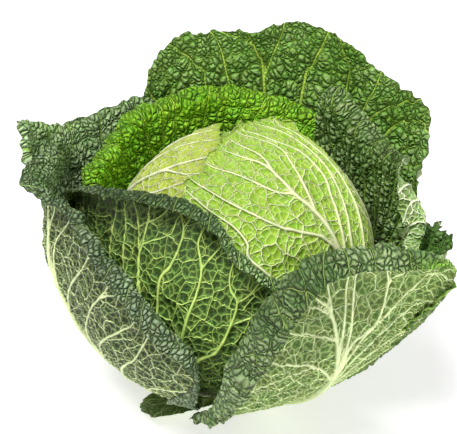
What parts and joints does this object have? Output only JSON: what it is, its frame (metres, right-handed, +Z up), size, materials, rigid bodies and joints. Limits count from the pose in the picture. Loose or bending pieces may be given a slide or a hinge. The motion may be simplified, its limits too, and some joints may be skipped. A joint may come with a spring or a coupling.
{
  "type": "savoy cabbage",
  "caption": "Savoy cabbage: a firm round head of pale crinkled leaves on a cut stump, ringed by loose dark blistered outer leaves with rolled rims.",
  "frame": {"origin": "centre of the stump's flat cut face, which is what the cabbage rests on", "axes": "+Z up through the middle of the head; -Y towards the side where two outer leaves part and show the head; +X to the right seen from there"},
  "size_m": [0.2563, 0.2596, 0.1827],
  "materials": {
    "cut_stem": "pale cream cut stem, matte",
    "head_leaves": "pale yellow-green leaves with raised cream veins, satin",
    "leaf_back": "dark blue-green blistered inner face with a grey bloom and thin yellow-green veins, matte",
    "leaf_inner_back": "bright green blistered inner face, its rim rolled outwards, matte",
    "leaf_right": "dark green blistered inner face on a thick roll, paler where the outer face shows, matte",
    "leaf_right_low": "dark green, puckered margin, matte",
    "leaf_front_right": "grey-green outer face with a raised pale vein net, dark blistered folded rim, matte",
    "leaf_front": "mid grey-green outer face with a raised pale vein net, satin",
    "leaf_left": "grey-green outer face with a raised pale vein net, dark blistered folded rim, matte",
    "leaf_back_left": "dark blue-green blistered inner face with a grey bloom, matte",
    "leaf_low": "pale green veined outer face, matte"
  },
  "bodies": {
    "root": {"stump": "cut_stem", "head": "head_leaves", "leaf_back": "leaf_back", "leaf_inner_back": "leaf_inner_back", "leaf_right": "leaf_right", "leaf_right_low": "leaf_right_low", "leaf_front_right": "leaf_front_right", "leaf_front": "leaf_front", "leaf_left": "leaf_left", "leaf_back_left": "leaf_back_left", "leaf_low": "leaf_low"}
  },
  "joints": []
}
